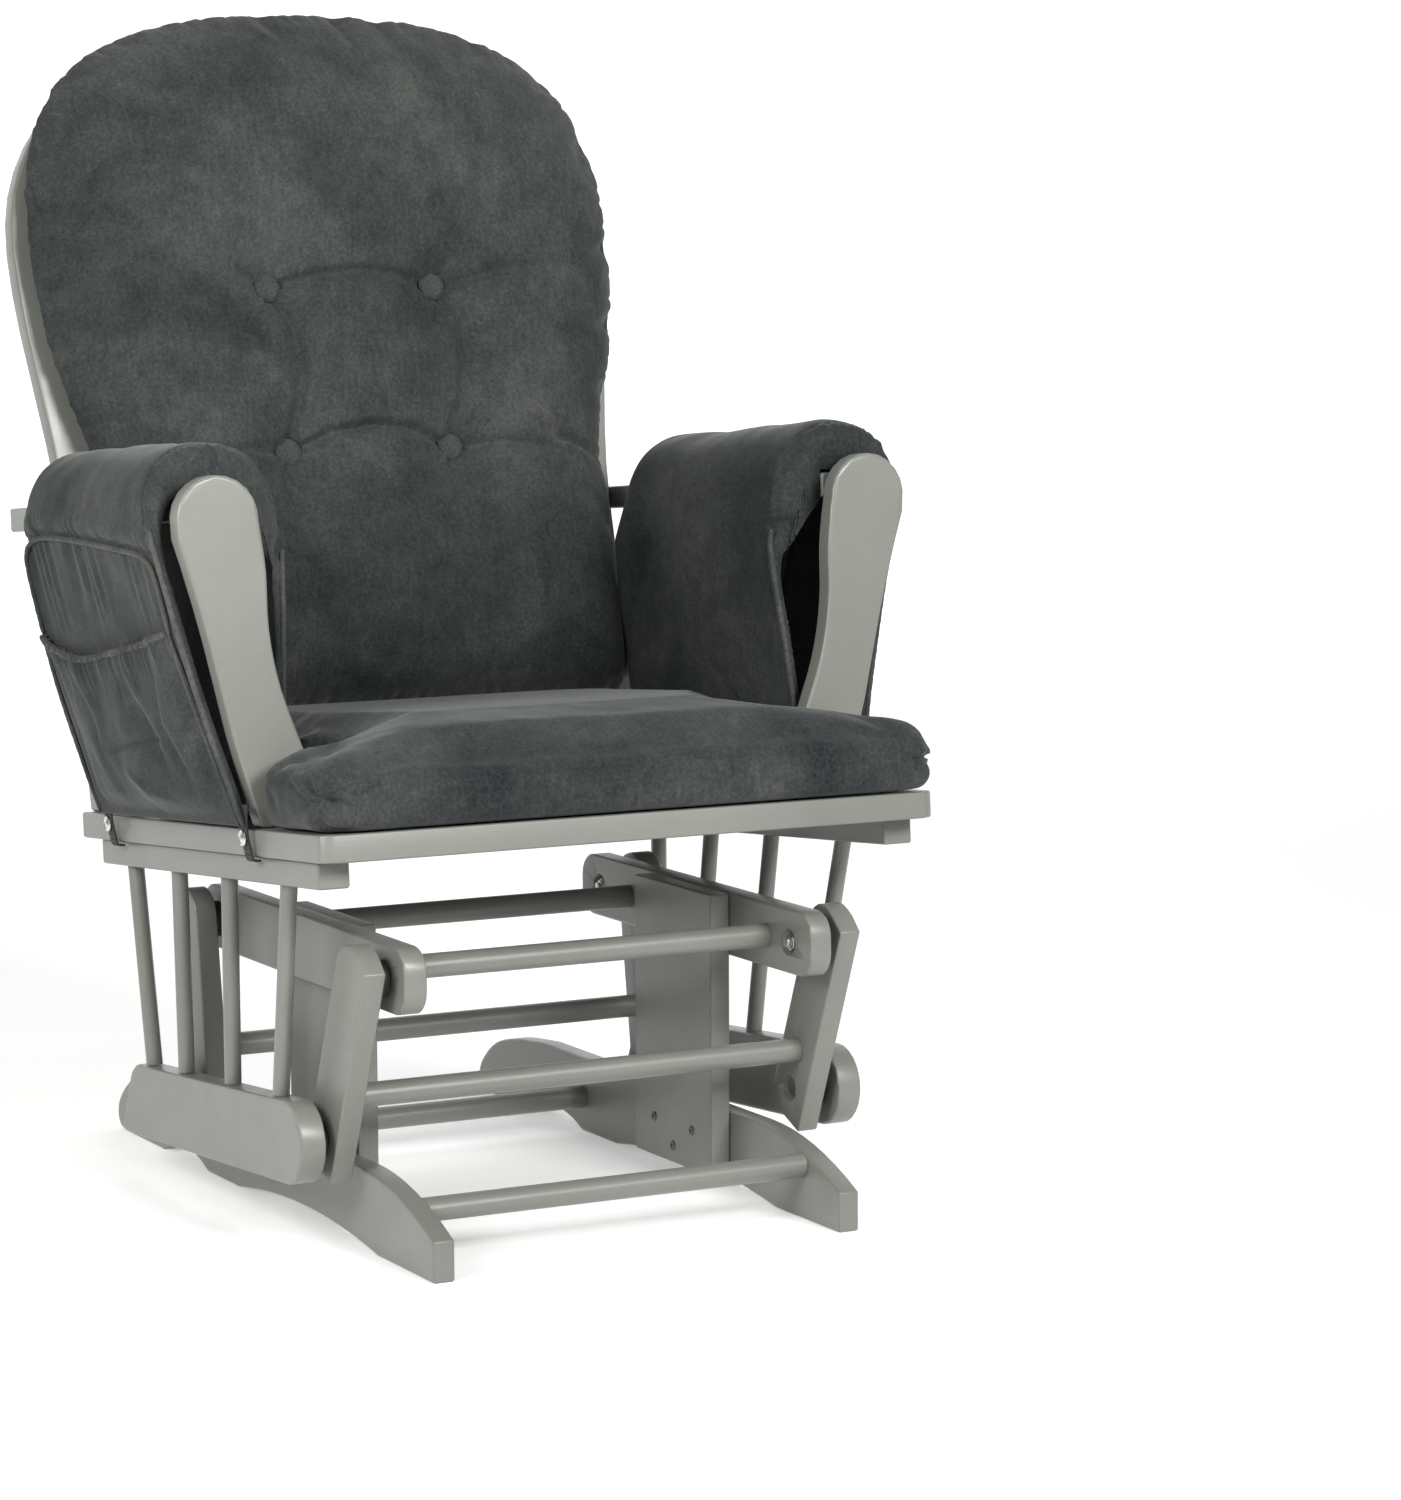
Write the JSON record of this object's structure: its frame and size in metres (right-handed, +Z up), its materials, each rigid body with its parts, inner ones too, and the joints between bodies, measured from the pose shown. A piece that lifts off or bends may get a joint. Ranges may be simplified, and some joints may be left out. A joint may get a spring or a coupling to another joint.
{
  "type": "glider nursery chair",
  "caption": "Hoop-back glider nursery chair with padded arms and side pockets; the seat swings on two pairs of wooden hangers over a low runner base.",
  "frame": {"origin": "on the floor, under the middle of the chair's box", "axes": "+Z up, the sitter faces -Y, the sitter's left is +X"},
  "size_m": [0.666, 0.7078, 0.9968],
  "materials": {
    "grey_paint": "satin grey paint on solid wood",
    "steel": "zinc-plated fasteners",
    "bearing_plastic": "black bearing discs",
    "microsuede": "charcoal brushed microsuede"
  },
  "bodies": {
    "base": {"runner_left": "grey_paint", "runner_right": "grey_paint", "post_left": "grey_paint", "post_right": "grey_paint", "base_arm_left": "grey_paint", "base_arm_right": "grey_paint", "base_front_rail": "grey_paint", "base_rear_rail": "grey_paint", "arm_front_rail": "grey_paint", "arm_rear_rail": "grey_paint"},
    "front_hanger": {"front_hanger_left": "grey_paint", "front_hanger_right": "grey_paint", "front_hanger_rail": "grey_paint", "front_upper_bolt_left": "steel", "front_upper_bolt_right": "steel", "front_upper_disc_left": "bearing_plastic", "front_upper_disc_right": "bearing_plastic"},
    "rear_hanger": {"rear_hanger_left": "grey_paint", "rear_hanger_right": "grey_paint", "rear_hanger_rail": "grey_paint", "rear_upper_bolt_left": "steel", "rear_upper_bolt_right": "steel", "rear_upper_disc_left": "bearing_plastic", "rear_upper_disc_right": "bearing_plastic"},
    "seat": {"swing_rail_left": "grey_paint", "swing_rail_right": "grey_paint", "front_lower_bolt_left": "steel", "front_lower_bolt_right": "steel", "front_lower_disc_left": "bearing_plastic", "front_lower_disc_right": "bearing_plastic", "rear_lower_bolt_left": "steel", "rear_lower_bolt_right": "steel", "rear_lower_disc_left": "bearing_plastic", "rear_lower_disc_right": "bearing_plastic", "spindle_left_1": "grey_paint", "spindle_left_2": "grey_paint", "spindle_left_3": "grey_paint", "spindle_left_4": "grey_paint", "spindle_right_1": "grey_paint", "spindle_right_2": "grey_paint", "spindle_right_3": "grey_paint", "spindle_right_4": "grey_paint", "under_rail_left": "grey_paint", "under_rail_right": "grey_paint", "seat_board": "grey_paint", "arm_panel_left": "grey_paint", "arm_panel_right": "grey_paint", "armrest_left": "grey_paint", "armrest_right": "grey_paint", "back_hoop": "grey_paint", "back_rail": "grey_paint", "back_slat_1": "grey_paint", "back_slat_2": "grey_paint", "back_slat_3": "grey_paint", "back_slat_4": "grey_paint", "seat_cushion": "microsuede", "back_cushion": "microsuede", "arm_pad_left": "microsuede", "arm_pad_right": "microsuede"}
  },
  "joints": [
    {"name": "front_swing", "type": "hinge", "parent": "base", "child": "front_hanger", "pos_m": [0, -0.26986, 0.224], "axis": [1, 0, 0], "range_deg": [-15, 8]},
    {"name": "seat_swing", "type": "hinge", "parent": "front_hanger", "child": "seat", "pos_m": [0, -0.21586, 0.091], "axis": [1, 0, 0], "range_deg": [-10.4, 19.4]},
    {"name": "rear_swing", "type": "hinge", "parent": "base", "child": "rear_hanger", "pos_m": [0, 0.06814, 0.224], "axis": [1, 0, 0], "range_deg": [-14.6, 7.9]}
  ],
  "couplings": [
    {"joint": "seat_swing", "follows": "front_swing", "ratio": -1.2771},
    {"joint": "rear_swing", "follows": "front_swing", "ratio": 0.9584}
  ]
}
